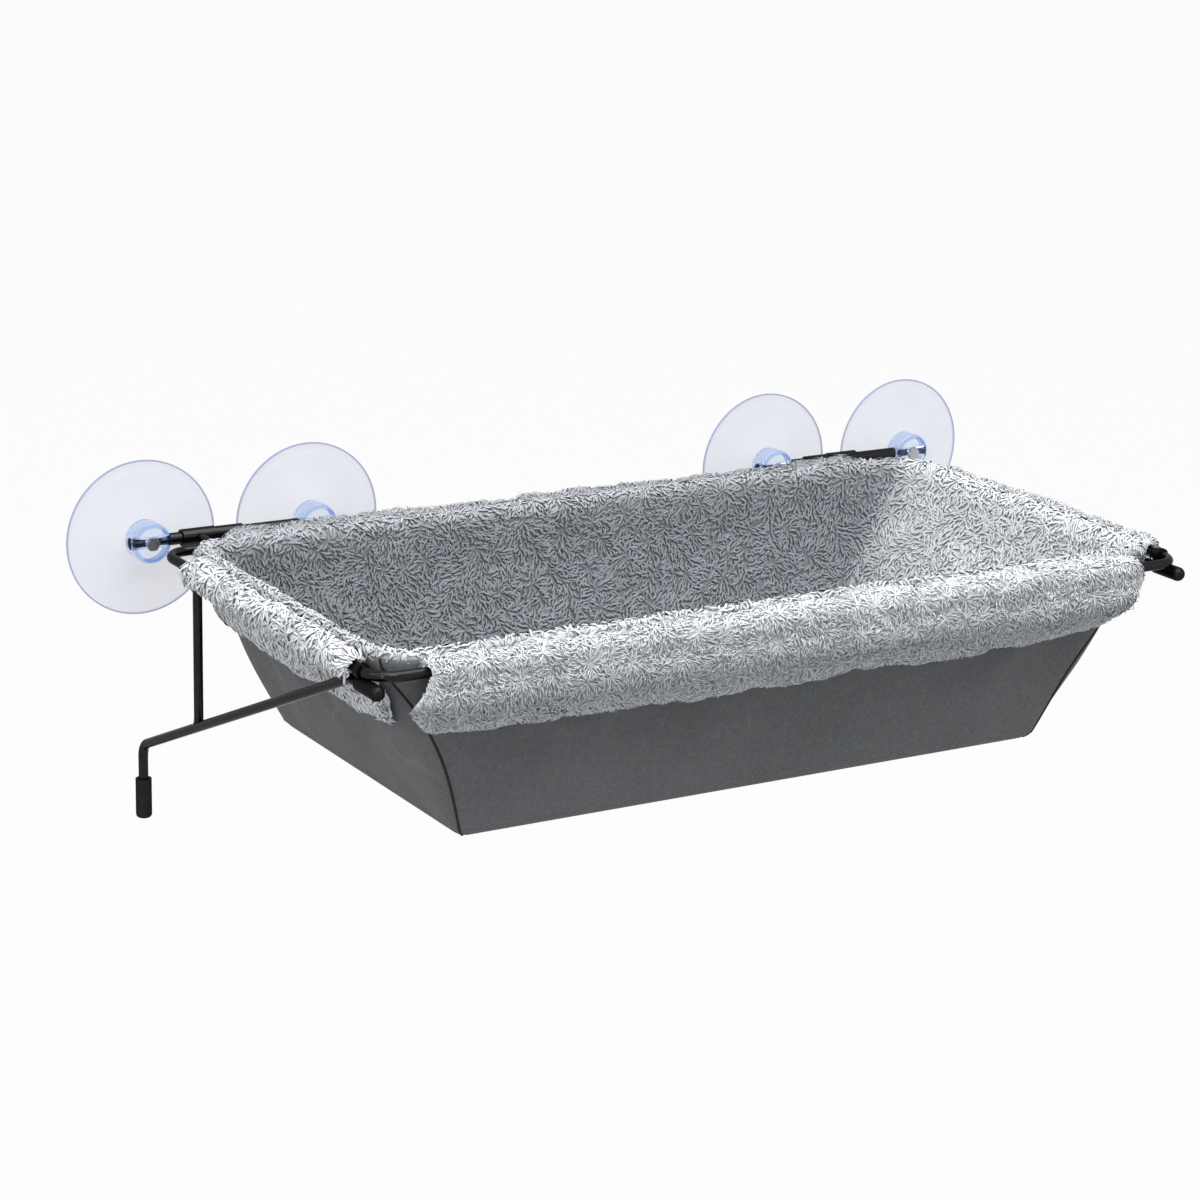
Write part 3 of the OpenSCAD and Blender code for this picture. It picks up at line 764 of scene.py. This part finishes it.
def lining_profile():
    """From behind the top edge, over it and down the wall to the floor, as [inset, height]."""
    top = [(2.4, -26), (2.4, -12), (2.2, 0), (2.6, 4.6)]
    top += [(4.4, 8.0), (7.4, 9.0), (9.8, 7.2), (10.6, 3.4)]
    wall_in, turn_r = 7.4, 14
    wall = [
        (wall_in + 2.8 * (1 - t) ** 8 - 1.6 * math.sin(math.pi * t), (FLOOR_Z + turn_r) * t)
        for t in np.linspace(0, 1, 26)
    ]
    turn = [
        (wall_in + turn_r * (1 - math.cos(a)), FLOOR_Z + turn_r * (1 - math.sin(a)))
        for a in np.radians([22, 45, 68, 90])
    ]
    floor = [(inset, FLOOR_Z) for inset in (30, 42, 56, 70, 84, 98, 108)]
    return np.array(top + wall + turn + floor), len(top), len(top + wall + turn)


def lining():
    """The lining's rings of points, and where its wall and its floor begin."""
    profile, n_top, n_wall = lining_profile()
    rings = []
    for inset, z in profile:
        r = max(9, corner_radius(z) - inset * 0.2)
        rings.append(at_height(bag_outline(z, inset, r), z))
    points = np.array(rings)
    lumps = wobble(points, 34, 11) * 1.5 + wobble(points, 15, 12) * 0.7
    inward = unit((np.array([0, MID_Y, 0]) - points) * [1, 1, 0])
    fade = np.clip((np.arange(len(profile)) - 3) / 4, 0, 1)[:, None]
    points = points + inward * (lumps * fade)[..., None]
    points[n_wall:, :, 2] += 3.2 + lumps[n_wall:] * 1.3
    return points, n_top, n_wall


LINING_POINTS, N_TOP, N_WALL = lining()


def wall_of_columns():
    """0 front, 1 right, 2 rear and 3 left for each point of an outline, changing at mid corner."""
    n_long, n_corner, n_side = COUNTS
    half = n_corner // 2
    runs = [n_long + half, n_side + n_corner, n_long + n_corner, n_side + n_corner, half]
    return np.repeat([0, 1, 2, 3, 0], runs)


WALL = wall_of_columns()


def lining_grey_and_shade(points):
    """How dark the pile's colour is, as painted shade and partly a darker grey lining: least on the
    right wall, and more down in the bowl, near the rear right corner and behind the rolled top
    edge.
    """
    x, y, z = np.moveaxis(points, -1, 0)
    right = WALL == 1
    # Painted shade: darker down the bowl, and each wall its own by which way it faces, on the rear
    # and left walls partly a darker grey cloth.
    deep = np.maximum(np.clip((5 - z) / 16, 0, 1), np.array([0.42, 0.2, 0.8, 0.42])[WALL])
    # Painted shade behind the rolled top edge.
    behind = np.clip(1 - np.abs(np.arange(len(z)) - 2) / 2, 0, 1)[:, None] * 0.55
    shade = np.array([0.6, 0.2, 0.8, 0.8])[WALL]
    for _ in range(2):
        shade = (np.roll(shade, 1) + shade + np.roll(shade, -1)) / 3
    # Painted shade in the rear right corner and further down the right wall.
    corner = np.hypot(x - x[:, right].max(1)[:, None], y - y.max(1)[:, None])
    near = 0.3 * np.exp(-((corner / 22) ** 2)) * right
    low = np.clip((-z - 40) / 150, 0, 0.2) * right
    return np.clip(np.maximum(deep * (shade + near + low), behind), 0, 1)


def cloth_tone(tip, tint, grey_and_shade):
    """What the fleece's look reads on the cloth under the pile, for as many points as its painted
    shade has; a low tip paints the cloth as dark as the shade between the strands.
    """
    return {"tip": np.full(grey_and_shade.shape, tip), "tint": np.full(grey_and_shade.shape, tint), "grey_and_shade": grey_and_shade}


def build_lining():
    points = LINING_POINTS
    rows, columns = points.shape[:2]
    grey_and_shade = lining_grey_and_shade(points)
    # The floor: deep painted shade, partly a darker grey cloth.
    grey_and_shade[N_WALL:] = 0.85
    faces = loft_faces(rows, columns, first=False)
    tone = cloth_tone(0.12, 0.4, grey_and_shade)
    bowl = piece_from("fleece_lining", points, faces, FLEECE, attributes=tone)
    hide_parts("liner_front", "liner_right", "liner_rear", "liner_left", "liner_floor")
    comb = np.zeros(points.shape)
    comb[N_TOP:, :, 2] = -0.35
    pile = np.full((rows, columns), 1.0)
    pile[:3] = 0.6
    walls = [("front", 2.3, 9.0), ("right", 1.7, 5.5), ("rear", 1.75, 3.6), ("left", 2.1, 9.0)]
    piles, twist = [], {"Swirl": 3.4, "Petal": 0.6}
    upper = [f for f in faces[:-1] if 1 <= f[0] // columns < N_WALL]
    for k, (side, spacing, softness) in enumerate(walls):
        keep = [f for f in upper if WALL[f[0] % columns] == k]
        name, slot = side + "_wall_pile", "grey_fleece" if k in (2, 3) else "pale_fleece"
        look = {**twist, "Soft": softness, "Seed": 20 + k}
        piles.append(
            grow_pile(name, points, keep, comb, pile, grey_and_shade, CURLS, slot, spacing, **look)
        )
    keep = [f for f in faces if f[0] // columns >= N_WALL - 1]
    still, long = np.zeros(points.shape), np.full((rows, columns), 1.15)
    name, slot, look = "floor_pile", "grey_fleece", {**twist, "Seed": 31}
    piles.append(grow_pile(name, points, keep, still, long, grey_and_shade, CURLS, slot, 2.7, **look))
    flat, area = bag_flat(8, -FLOOR_Z, 40)


build_lining()


# The cuffs: fleece turned down over the rim's straights

# How much further out than up the roll of a hung cuff stands
ROLL_OUT = 3.6
# How much painted shade a hung cuff's flap has
HUNG_SHADE = 0.38


def cuff_lines(drop, lean, swell, tucked, count=30):
    """The cuff's outer and inner line at one place, as points [in from the wire, up]."""
    crest_r, lip, n = CREST_R - 0.9, math.radians(-38 if tucked else -22), 15
    angles = np.linspace(lip, math.pi, n)
    if tucked:
        angles = math.pi - angles
    over = np.stack([np.cos(angles), np.sin(angles)], -1)
    w = np.linspace(0, 1, count)
    z = -CREST_R - (drop - CREST_R) * w
    if tucked:
        back = CREST_R - lean * z - 0.6
    else:
        back = (CREST_R + lean * drop + WRAP_R) * w**1.4 - WRAP_R - 0.6 * w
    thick = (4.6 + swell * np.sin(np.radians(150 * w))) * np.sqrt(1 - 0.92 * w**14)
    front = back - thick
    if not tucked:
        front = front - ROLL_OUT * (1 - w) ** 1.2 - 3.4 * np.sin(np.pi * w**0.75) ** 1.3
    outer_flap, inner_flap = (back, front) if tucked else (front, back)
    crest = over * crest_r
    if not tucked:
        crest[:, 0] -= ROLL_OUT * np.clip(-over[:, 0], 0, 1) ** 0.7
    outer = np.concatenate([crest, np.stack([outer_flap, z], -1)])
    inner = np.concatenate([over * (WRAP_R + 0.2), np.stack([inner_flap, z], -1)])
    return outer, inner, n


def cuff_grid(half, drop, lean, swell, tucked, ends, step=4.0):
    """The cuff's outer and inner surface over a straight from -half to half, with round ends.

    Each end's hem stands ends[1] out of line, and its middle bulges by ends[0] more.
    """
    columns = int(2 * half / step)
    s = np.linspace(-1, 1, columns)
    s = np.sign(s) * (1 - (1 - np.abs(s)) ** 1.15)
    outer_rows, inner_rows = [], []
    for share in s:
        from_end = (1 - abs(share)) * half
        turned = max(0.0, 1 - from_end / 14)
        ragged = 1.3 * wobble(np.array([[share * half]]), 13, 61)[0]
        hem = drop - 0.8 * (1 + math.sin(share * 7.5)) + ragged
        hem = hem - 6 * abs(share) ** 5 - 10 * turned**2
        outer, inner, n = cuff_lines(hem, lean, swell, tucked)
        close = math.sqrt(max(0.0, 1 - max(0.0, 1 - from_end / 6) ** 2))
        middle = (outer + inner) / 2
        outer, inner = middle + (outer - middle) * close, middle + (inner - middle) * close
        low = np.clip(-outer[:, 1] / hem, 0, 1)
        swelled, moved = ends[int(share > 0)]
        bulge = swelled * np.sin(np.pi * low**1.5) + moved * low
        bulge = bulge * np.sign(share) * abs(share) ** 7
        for line, rows in ((outer, outer_rows), (inner, inner_rows)):
            rows.append(np.stack([share * half + bulge, line[:, 0], line[:, 1]], -1))
    return np.array(outer_rows), np.array(inner_rows), n


def build_cuff(side, place, shape, nap):
    """One cuff: its cloth as a closed form, and the pile on all that shows of it.

    place is its turn and shift, shape is what cuff_grid takes, and nap is its strands, their
    spacing, its seed, its painted shade and how soft its shading is.
    """
    name, node = side + "_cuff_cloth", side + "_cuff"
    half, drop, _, _, tucked, _ = shape
    kinds, spacing, seed, shade, softness = nap
    outer, inner, n_crest = cuff_grid(*shape)
    turn, shift = place
    cos, sin = math.cos(turn), math.sin(turn)
    spin = np.array([[cos, -sin, 0], [sin, cos, 0], [0, 0, 1]])

    def put(points):
        return points @ spin.T + np.array(shift)

    def relief(points):
        return wobble(points, 19, seed) * 1.7 + wobble(points, 9, seed + 1) * 0.8

    lifted = put(outer)
    normal = unit(np.cross(np.gradient(lifted, axis=0), np.gradient(lifted, axis=1)))
    away = lifted - put(inner)
    normal *= np.sign((normal * away).sum(-1))[..., None]
    fade = np.clip(np.linalg.norm(away, axis=-1) / 4, 0, 1)
    lifted = lifted + normal * (relief(lifted) * fade)[..., None]
    whole = np.concatenate([lifted, put(inner)[:, ::-1]], 1)
    faces = grid_faces(*whole.shape[:2], wrap=True)
    tone = cloth_tone(0.3, 0.5, np.full(whole.shape[:2], shade))
    cloth = piece_from(name, whole, faces, FLEECE, attributes=tone)
    tidy(cloth, 0.0001)
    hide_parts(node)

    sheets = [(lifted, 1)]
    if tucked:
        flap = put(inner)
        facing = unit(flap - put(outer))
        flap = (flap + facing * (relief(flap) * fade)[..., None])[:, n_crest:]
        sheets = [(lifted[:, : n_crest + 1], 1), (flap, -1)]
    points, faces, comb, pile, grey_and_shade = [], [], [], [], []
    for sheet, way in sheets:
        n_down = sheet.shape[1]
        share = np.linspace(0, 1, n_down)
        at_hem = 1.6 * np.clip(share * 7 - 6, 0, 1)
        # fold is more painted shade: down the middle of a hung cuff's flap, and where a tucked
        # cuff's crest turns down.
        if not tucked:
            down = np.clip(share * 2 - 0.3, 0.1, 0.35) + at_hem
            fade_out = 1 - 0.7 * np.clip((share - 0.6) / 0.3, 0, 1)
            fold = HUNG_SHADE * np.clip((share - 0.2) / 0.2, 0, 1) * fade_out
        elif way == 1:
            down = np.clip(1 - share * 3.2, 0, 1) * 0.9
            fold = 0.75 * np.clip((share - 0.72) / 0.28, 0, 1)
        else:
            down, fold = 0.5 + at_hem, 0 * share
        hang = np.zeros(sheet.shape)
        hang[..., 2] = -down
        quads = grid_faces(*sheet.shape[:2])
        if way == 1:
            a, b, c = (sheet.reshape(-1, 3)[quads[:, k]] for k in (0, 1, 2))
            crest = a[:, 2] > 2
            upright = np.cross(b - a, c - a)[crest][:, 2].sum() > 0
        if upright != (way == 1):
            quads = quads[:, ::-1]
        faces += (quads + sum(map(len, points))).tolist()
        points.append(sheet.reshape(-1, 3))
        comb.append(hang.reshape(-1, 3))
        grey_and_shade.append(np.tile(np.clip(shade + fold, 0, 1), len(sheet)))
        from_end = (1 - np.abs(np.linspace(-1, 1, len(sheet)))) * half
        pile.append(np.repeat(np.clip(from_end / 18, 0, 0.3) + 0.8, n_down))
    points, comb, pile, grey_and_shade = map(np.concatenate, (points, comb, pile, grey_and_shade))
    look = {"Swirl": 1.7, "Stand": 0.2} if tucked else {"Swirl": 2.6, "Stand": 0.36}
    look |= {"Petal": 0.7, "Soft": softness, "Seed": seed}
    name, slot = side + "_cuff_pile", "pale_fleece"
    grown = grow_pile(name, points, faces, comb, pile, grey_and_shade, kinds, slot, spacing, **look)
    flat = (2 * half * MM, (math.pi * CREST_R + drop) * MM)


# How long the cuffs hang, and how much of the wire they leave bare at the rim's corners
FRONT_DROP, DROP = 45, 42
FRONT_BARE, REAR_BARE, SIDE_REAR_BARE, SIDE_FRONT_BARE = 34.5, 44, 47, 27


def cuffs():
    side_rear, side_front = REAR_Y - SIDE_REAR_BARE, FRONT_Y + SIDE_FRONT_BARE
    side_half, side_mid = (side_rear - side_front) / 2, (side_rear + side_front) / 2
    front_ends = ((9, -1), (0, -9))
    even, full = ((4, 0), (4, 0)), ((8, 0), (8, 0))
    front = (SIDE_X - FRONT_BARE, FRONT_DROP, FRONT_LEAN, 5.5, False, front_ends)
    rear = (SIDE_X - REAR_BARE, DROP, REAR_LEAN, 2, False, even)
    tuck = (side_half, DROP, SIDE_LEAN, 3, True, full)
    at_right, at_left = (SIDE_X, side_mid, 0), (-SIDE_X, side_mid, 0)
    # The fourth number of each nap is painted shade, deepest on the rear cuff.
    build_cuff("front", (0, (-3.5, FRONT_Y, 0)), front, (LOCKS, 1.06, 41, 0, 3.2))
    build_cuff("rear", (math.pi, (0, REAR_Y, 0)), rear, (LOCKS, 1.6, 43, 0.65, 8.0))
    build_cuff("right", (math.pi / 2, at_right), tuck, (LOCKS, 1.3, 45, 0.12, 6.0))
    build_cuff("left", (-math.pi / 2, at_left), tuck, (PETALS, 1.4, 47, 0.0, 10.0))


cuffs()


# Stitches and seams of the canvas


def stitch_shape():
    """One stitch: a short round-ended run of thread that lies along +X."""
    sides = 6
    rings = ((-1.15, 0.02), (-0.9, 0.26), (0.9, 0.26), (1.15, 0.02))
    around = [2 * math.pi * k / sides for k in range(sides)]
    points = [(x, r * math.cos(a), r * math.sin(a)) for x, r in rings for a in around]
    made = piece_from("stitch", points, loft_faces(4, sides), THREAD, body=None)
    made.hide_render = True
    return tidy(made, 1e-7)


def thread_line(name, line, pitch):
    """Stitches along a closed line of points, as one piece."""
    n = len(line)
    mesh = bpy.data.meshes.new(name + "_line")
    mesh.from_pydata((np.array(line) * MM).tolist(), [(i, (i + 1) % n) for i in range(n)], [])
    line_piece = add(name + "_line", mesh)
    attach(line_piece, "bed_frame")
    STITCHES.put_on(line_piece, Stitch=STITCH, Pitch=pitch * MM, Finish=THREAD)
    made = plain_mesh(line_piece, name)
    bpy.data.objects.remove(line_piece)
    return made


def tube(path, radius, sides=8):
    """Points and faces of a closed tube along a path."""
    path = np.asarray(path, float)
    tangent = unit(np.gradient(path, axis=0))
    side = unit(np.cross(tangent, [0.3, 0.2, 1.0]))
    up = np.cross(side, tangent)
    a = 2 * np.pi * np.arange(sides) / sides
    round_it = side[:, None] * np.cos(a)[None, :, None] + up[:, None] * np.sin(a)[None, :, None]
    return (path[:, None] + radius * round_it).reshape(-1, 3), loft_faces(len(path), sides)


STITCHES = stitch_tree()
STITCH = stitch_shape()
SEAM_R = 0.85


def seam_path(first, way, rows):
    """A seam down a corner of the bag: it starts at a column and bows along the wall beside it."""
    columns = BAG_POINTS.shape[1]
    path = []
    for ring, t in zip(BAG_POINTS[:rows], np.linspace(0, 1, rows), strict=True):
        column = first + way * (1.5 * t + 4.0 * math.sin(math.pi * t**1.3))
        low, share = math.floor(column), column - math.floor(column)
        path.append(ring[low % columns] * (1 - share) + ring[(low + 1) % columns] * share)
    return np.array(path)


def canvas_sewing():
    """The welts down the bag's corners, near black as painted shadow in their folds, and the
    stitches above its base.
    """
    n_long, n_corner, n_side = COUNTS
    rear_right = n_long + n_corner + n_side
    rear_left = rear_right + n_long + n_corner
    seams = [(-6.5, 1), (n_long + 6.5, -1), (rear_right + 5, 1), (rear_left + 5, -1)]
    hem = next(i for i, ring in enumerate(BAG_POINTS) if ring[0, 2] < -BAG_H + 9)
    ring = BAG_POINTS[hem]
    out = unit((ring - np.array([0, MID_Y, 0])) * [1, 1, 0])
    points, faces = [], []
    for first, way in seams:
        made, more = tube(seam_path(first, way, hem + 4), SEAM_R)
        faces += [[v + len(points) for v in f] for f in more]
        points += list(made)
    welt = piece_from("corner_seams", points, faces, WELT_SHADOW)
    tidy(welt, 1e-6)
    stitches = thread_line("canvas_stitches", ring + out * 0.15, 3.6)
    flat, area = bag_flat(0, BAG_H, 0)


canvas_sewing()


# The foam pad under the lining's floor


def foam_pad():
    low, high = (np.array(c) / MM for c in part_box("base_pad"))
    mid = (low + high) / 2
    half = (high - low) / 2
    rings = []
    for share, z in ((0.985, 0), (1, 0.25), (1, 0.75), (0.985, 1)):
        ring = outline(half[0] * share, -half[1] * share, half[1] * share, 14, (20, 6, 12))
        rings.append(at_height(ring + mid[:2], low[2] + (high[2] - low[2]) * z))
    points = np.array(rings)
    pad = piece_from("foam_pad", points, loft_faces(*points.shape[:2]), foam())
    tidy(pad, 1e-6)
    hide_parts("base_pad")


foam_pad()


# Weld beads where the rods of the frame meet


def weld_beads():
    """Small uneven beads round the tees' stems and the heads of the brackets' uprights."""
    tee_x, upright_in, upright_r, around, sides = 252.0, 52, 3.05, 40, 8
    points, faces, spots = [], [], []
    for sx in (-1, 1):
        spots.append(((sx * tee_x, REAR_Y + WIRE / 2 - 0.2, 0), (0, 1, 0), WIRE / 2 + 0.1))
        head = (sx * SIDE_X, REAR_Y - upright_in, -WIRE / 2 + 0.3)
        spots.append((head, (0, 0, 1), upright_r))
    a, b = (2 * math.pi * np.arange(n)[:, None] / n for n in (around, sides))
    quads = grid_faces(around + 1, sides, wrap=True) % (around * sides)
    for spot, (centre, axis, radius) in enumerate(spots):
        side = np.array(Vector(axis).orthogonal().normalized())
        outward = np.cos(a) * side + np.sin(a) * np.cross(axis, side)
        ring = centre + outward * (radius + 0.12 * np.sin(9 * a + spot))
        round_it = outward[:, None] * np.cos(b) + np.array(axis) * np.sin(b)
        bead = ring[:, None] + round_it * (0.8 + 0.1 * np.sin(11 * a))[:, None]
        faces += (quads + len(points)).tolist()
        points += bead.reshape(-1, 3).tolist()
    beads = piece_from("weld_beads", points, faces, COATING)
    tidy(beads, 1e-6)


weld_beads()


def clear_sources():
    """Removes the strands and the stitch that the pieces were grown from."""
    for kinds in (CURLS, LOCKS, PETALS):
        for made in list(kinds.objects):
            bpy.data.objects.remove(made)
        bpy.data.collections.remove(kinds)
    bpy.data.objects.remove(STITCH)


clear_sources()


# Floor, lamps, world and camera


def studio():
    """A white floor and world that look plain to the camera and light the perch more softly."""
    wide, low = 30, -0.62
    corners = [(-wide, -wide, low), (wide, -wide, low), (wide, wide, low), (-wide, wide, low)]
    mesh = bpy.data.meshes.new("floor")
    mesh.from_pydata(corners, [], [(0, 1, 2, 3)])
    floor = add("floor", mesh)
    grey = (0.45, 0.45, 0.45, 1)
    paint = Finish("floor_white", Base_Color=grey, Roughness=1.0, Specular_IOR_Level=0.0)
    glow = paint.node("ShaderNodeEmission", {}, {"Color": (1, 1, 1, 1), "Strength": 1.0})
    share = paint.plain_rays() * 0.96
    paint.surface(paint.node("ShaderNodeMixShader", {}, [share, paint.own(), glow]))
    mesh.materials.append(paint.material)

    world = bpy.data.worlds.new("studio")
    bpy.context.scene.world = world
    world.use_nodes = True
    sky = Tree(world.node_tree)
    sky.tree.nodes.remove(sky.tree.nodes["Background"])
    light, shown = (
        sky.node("ShaderNodeBackground", {}, {"Color": colour, "Strength": strength})
        for colour, strength in (((0.93, 0.96, 1.0, 1), 0.7), ((0.975, 0.978, 0.98, 1), 1.0))
    )
    sky.surface(sky.node("ShaderNodeMixShader", {}, [sky.plain_rays(), light, shown]))

    lamps = [
        ("key", (-2.0, -0.55, 1.5), (1.7, 1.7), 14, (0.0, -0.2, -0.05)),
        ("fill", (1.4, -2.1, 1.0), (1.4, 1.4), 3, (0.0, -0.2, -0.05)),
        ("top", (0.1, -0.7, 2.1), (2.3, 2.0), 62, (0.0, -0.2, 0.0)),
        ("strip", (-0.9, -1.9, 1.9), (1.8, 0.06), 16, (0.0, -0.2, -0.05)),
        ("side_strip", (-1.7, -1.5, 0.4), (0.05, 1.5), 4, (-0.2, -0.1, -0.1)),
    ]
    for name, place, size, power, target in lamps:
        lamp = bpy.data.lights.new(name, "AREA")
        lamp.shape, lamp.size, lamp.size_y, lamp.energy = "RECTANGLE", *size, power
        holder = add(name, lamp)
        holder.location = place
        holder.rotation_mode = "QUATERNION"
        holder.rotation_quaternion = (Vector(place) - Vector(target)).to_track_quat("Z", "Y")


def camera():
    """The viewing angle: from the left, a little above, with a long lens."""
    azimuth, height, roll = math.radians(-30.9), math.radians(15.9), math.radians(1.4)
    right = Vector((math.cos(azimuth), math.sin(azimuth), 0))
    level = math.cos(height)
    back = Vector((math.sin(azimuth) * level, -math.cos(azimuth) * level, math.sin(height)))
    up = back.cross(right)
    right, up = (
        right * math.cos(roll) + up * math.sin(roll),
        up * math.cos(roll) - right * math.sin(roll),
    )
    # In millimetres: what the camera looks at, and how far back, right and up of it the eye is
    target = Vector((0, -150, -60)) * MM
    eye_back, eye_right, eye_up = 2148, -25.1, 20.0
    eye = target + back * eye_back * MM + right * eye_right * MM + up * eye_up * MM
    focal_px, frame_px, sensor = 3281, 1200, 36
    lens = bpy.data.cameras.new("view")
    lens.sensor_width = sensor
    lens.lens = focal_px / frame_px * sensor
    lens.clip_start, lens.clip_end = 0.05, 100
    holder = add("view", lens)
    axes = Matrix((right, up, back)).transposed().to_4x4()
    holder.matrix_world = Matrix.Translation(eye) @ axes
    bpy.context.scene.camera = holder


studio()
camera()
bpy.context.scene.view_settings.view_transform = "Standard"
